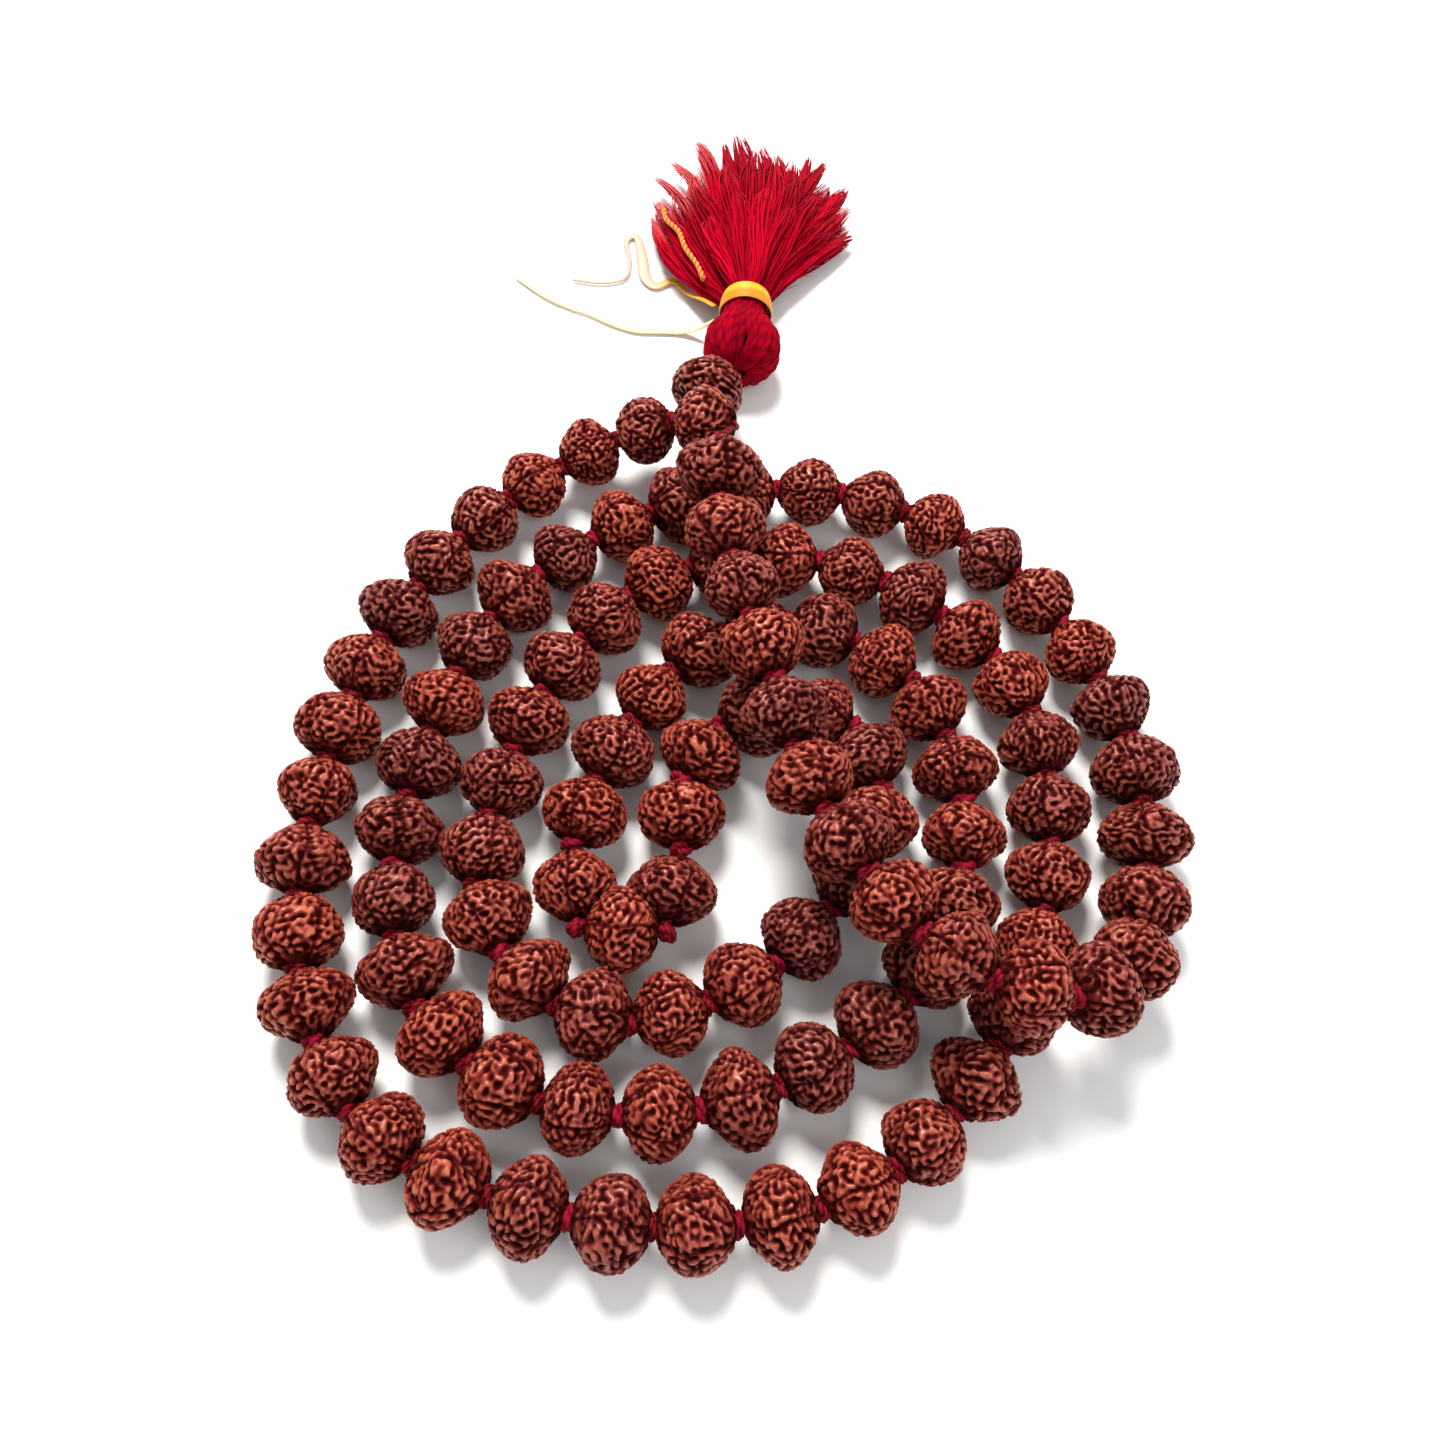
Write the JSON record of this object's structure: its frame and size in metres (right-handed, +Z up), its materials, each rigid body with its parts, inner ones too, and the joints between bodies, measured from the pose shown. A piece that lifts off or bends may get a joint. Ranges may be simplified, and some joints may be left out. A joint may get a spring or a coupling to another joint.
{
  "type": "mala prayer beads",
  "caption": "Knotted loop of ridged rudraksha seed beads on thread, lying in a double spiral, with a guru bead and a silk-bound yarn tassel.",
  "frame": {"origin": "centre of the resting piece's box, on the surface it lies on", "axes": "+Z up, +Y towards the tassel, +X to the right of the strand seen from above"},
  "size_m": [0.0962, 0.1503, 0.0186],
  "materials": {
    "bead": "rough ridged seed, low sheen",
    "thread": "twisted crimson cord",
    "yarn": "soft crimson yarn",
    "silk": "glossy yellow silk thread",
    "cream": "undyed cream thread"
  },
  "bodies": {
    "strand": {"main_thread": "thread", "tied_beads_001_002": "bead", "tied_beads_004_007": "bead", "tied_beads_009_012": "bead", "tied_beads_014_017": "bead", "tied_beads_019_022": "bead", "tied_beads_024_027": "bead", "tied_beads_029_032": "bead", "tied_beads_034_037": "bead", "tied_beads_039_042": "bead", "tied_beads_044_047": "bead", "tied_beads_049_052": "bead", "tied_beads_054_057": "bead", "tied_beads_059_062": "bead", "tied_beads_064_067": "bead", "tied_beads_069_072": "bead", "tied_beads_074_077": "bead", "tied_beads_079_082": "bead", "tied_beads_084_087": "bead", "tied_beads_089_092": "bead", "tied_beads_094_097": "bead", "tied_beads_099_100": "bead"},
    "link_1": {"link_thread_101_102": "thread", "link_beads_101_102": "bead"},
    "link_2": {"link_thread_103_104": "thread", "link_beads_103_104": "bead"},
    "link_3": {"link_thread_105_106": "thread", "link_beads_105_106": "bead"},
    "link_4": {"link_thread_107_108": "thread", "link_beads_107_108": "bead"},
    "guru": {"guru_bead": "bead", "guru_cord": "thread"},
    "tassel": {"tassel_head": "yarn", "silk_wrap": "silk", "yellow_tail": "silk", "cream_tail": "cream"},
    "skirt": {"tassel_skirt": "yarn"},
    "bead_003": {"bead_003": "bead"},
    "bead_008": {"bead_008": "bead"},
    "bead_013": {"bead_013": "bead"},
    "bead_018": {"bead_018": "bead"},
    "bead_023": {"bead_023": "bead"},
    "bead_028": {"bead_028": "bead"},
    "bead_033": {"bead_033": "bead"},
    "bead_038": {"bead_038": "bead"},
    "bead_043": {"bead_043": "bead"},
    "bead_048": {"bead_048": "bead"},
    "bead_053": {"bead_053": "bead"},
    "bead_058": {"bead_058": "bead"},
    "bead_063": {"bead_063": "bead"},
    "bead_068": {"bead_068": "bead"},
    "bead_073": {"bead_073": "bead"},
    "bead_078": {"bead_078": "bead"},
    "bead_083": {"bead_083": "bead"},
    "bead_088": {"bead_088": "bead"},
    "bead_093": {"bead_093": "bead"},
    "bead_098": {"bead_098": "bead"}
  },
  "joints": [
    {"name": "knot_flex_1", "type": "hinge", "parent": "strand", "child": "link_1", "pos_m": [0.01853, -0.0447, 0.01414], "axis": [0.776, 0.6307, 0], "range_deg": [0, 20]},
    {"name": "knot_flex_2", "type": "hinge", "parent": "link_1", "child": "link_2", "pos_m": [0.00948, -0.03205, 0.01311], "axis": [0.9075, 0.42, 0], "range_deg": [0, 20]},
    {"name": "knot_flex_3", "type": "hinge", "parent": "link_2", "child": "link_3", "pos_m": [0.00395, -0.01752, 0.01364], "axis": [0.9416, 0.3368, 0], "range_deg": [0, 20]},
    {"name": "knot_flex_4", "type": "hinge", "parent": "link_3", "child": "link_4", "pos_m": [-0.00126, -0.0028, 0.01386], "axis": [0.9794, 0.2019, 0], "range_deg": [0, 20]},
    {"name": "guru_swing", "type": "hinge", "parent": "link_4", "child": "guru", "pos_m": [-0.00591, 0.02454, 0.00658], "axis": [0, 0, 1], "range_deg": [-10, 10]},
    {"name": "tassel_lift", "type": "hinge", "parent": "guru", "child": "tassel", "pos_m": [-0.0011, 0.0304, 0.00475], "axis": [1, 0, 0], "range_deg": [0, 30]},
    {"name": "skirt_sway", "type": "hinge", "parent": "tassel", "child": "skirt", "pos_m": [-0.0009, 0.043, 0.00475], "axis": [0, 0, 1], "range_deg": [-12, 5]},
    {"name": "turn_bead_003", "type": "hinge", "parent": "strand", "child": "bead_003", "pos_m": [-0.01894, 0.01764, 0.0048], "axis": [-0.8545, -0.5007, -0.1383], "continuous": true},
    {"name": "turn_bead_008", "type": "hinge", "parent": "strand", "child": "bead_008", "pos_m": [-0.0409, -0.01342, 0.0043], "axis": [-0.2578, -0.9662, 0.0008], "continuous": true},
    {"name": "turn_bead_013", "type": "hinge", "parent": "strand", "child": "bead_013", "pos_m": [-0.04043, -0.05175, 0.0043], "axis": [0.3852, -0.9228, 0], "continuous": true},
    {"name": "turn_bead_018", "type": "hinge", "parent": "strand", "child": "bead_018", "pos_m": [-0.00905, -0.07051, 0.0043], "axis": [0.9984, -0.0557, 0], "continuous": true},
    {"name": "turn_bead_023", "type": "hinge", "parent": "strand", "child": "bead_023", "pos_m": [0.02489, -0.05584, 0.0043], "axis": [0.5783, 0.8158, 0], "continuous": true},
    {"name": "turn_bead_028", "type": "hinge", "parent": "strand", "child": "bead_028", "pos_m": [0.03325, -0.01874, 0.0043], "axis": [-0.1546, 0.988, 0], "continuous": true},
    {"name": "turn_bead_033", "type": "hinge", "parent": "strand", "child": "bead_033", "pos_m": [0.00527, 0.00392, 0.0043], "axis": [-0.9999, 0.0126, 0], "continuous": true},
    {"name": "turn_bead_038", "type": "hinge", "parent": "strand", "child": "bead_038", "pos_m": [-0.02235, -0.01915, 0.0043], "axis": [-0.3024, -0.9532, 0], "continuous": true},
    {"name": "turn_bead_043", "type": "hinge", "parent": "strand", "child": "bead_043", "pos_m": [-0.01238, -0.05122, 0.0043], "axis": [0.9834, -0.1815, 0], "continuous": true},
    {"name": "turn_bead_048", "type": "hinge", "parent": "strand", "child": "bead_048", "pos_m": [0.01546, -0.02893, 0.0043], "axis": [0.1471, 0.9891, 0], "continuous": true},
    {"name": "turn_bead_053", "type": "hinge", "parent": "strand", "child": "bead_053", "pos_m": [-0.00503, -0.02942, 0.0043], "axis": [0.0318, -0.9995, 0], "continuous": true},
    {"name": "turn_bead_058", "type": "hinge", "parent": "strand", "child": "bead_058", "pos_m": [-0.01273, -0.02215, 0.0043], "axis": [0.3975, 0.9176, 0], "continuous": true},
    {"name": "turn_bead_063", "type": "hinge", "parent": "strand", "child": "bead_063", "pos_m": [0.01646, -0.00924, 0.0043], "axis": [0.8028, -0.5963, 0], "continuous": true},
    {"name": "turn_bead_068", "type": "hinge", "parent": "strand", "child": "bead_068", "pos_m": [0.02044, -0.04472, 0.0043], "axis": [-0.5472, -0.837, 0], "continuous": true},
    {"name": "turn_bead_073", "type": "hinge", "parent": "strand", "child": "bead_073", "pos_m": [-0.01307, -0.06041, 0.0043], "axis": [-0.9933, 0.1156, 0], "continuous": true},
    {"name": "turn_bead_078", "type": "hinge", "parent": "strand", "child": "bead_078", "pos_m": [-0.03423, -0.03264, 0.0043], "axis": [0.0385, 0.9993, 0], "continuous": true},
    {"name": "turn_bead_083", "type": "hinge", "parent": "strand", "child": "bead_083", "pos_m": [-0.02041, 0.00266, 0.0043], "axis": [0.7514, 0.6599, 0], "continuous": true},
    {"name": "turn_bead_088", "type": "hinge", "parent": "strand", "child": "bead_088", "pos_m": [0.01546, 0.01269, 0.0043], "axis": [0.9657, -0.2596, 0], "continuous": true},
    {"name": "turn_bead_093", "type": "hinge", "parent": "strand", "child": "bead_093", "pos_m": [0.04179, -0.01378, 0.00428], "axis": [0.3239, -0.9461, 0.0003], "continuous": true},
    {"name": "turn_bead_098", "type": "hinge", "parent": "strand", "child": "bead_098", "pos_m": [0.03579, -0.04824, 0.01071], "axis": [-0.7856, -0.3699, 0.4959], "continuous": true}
  ]
}
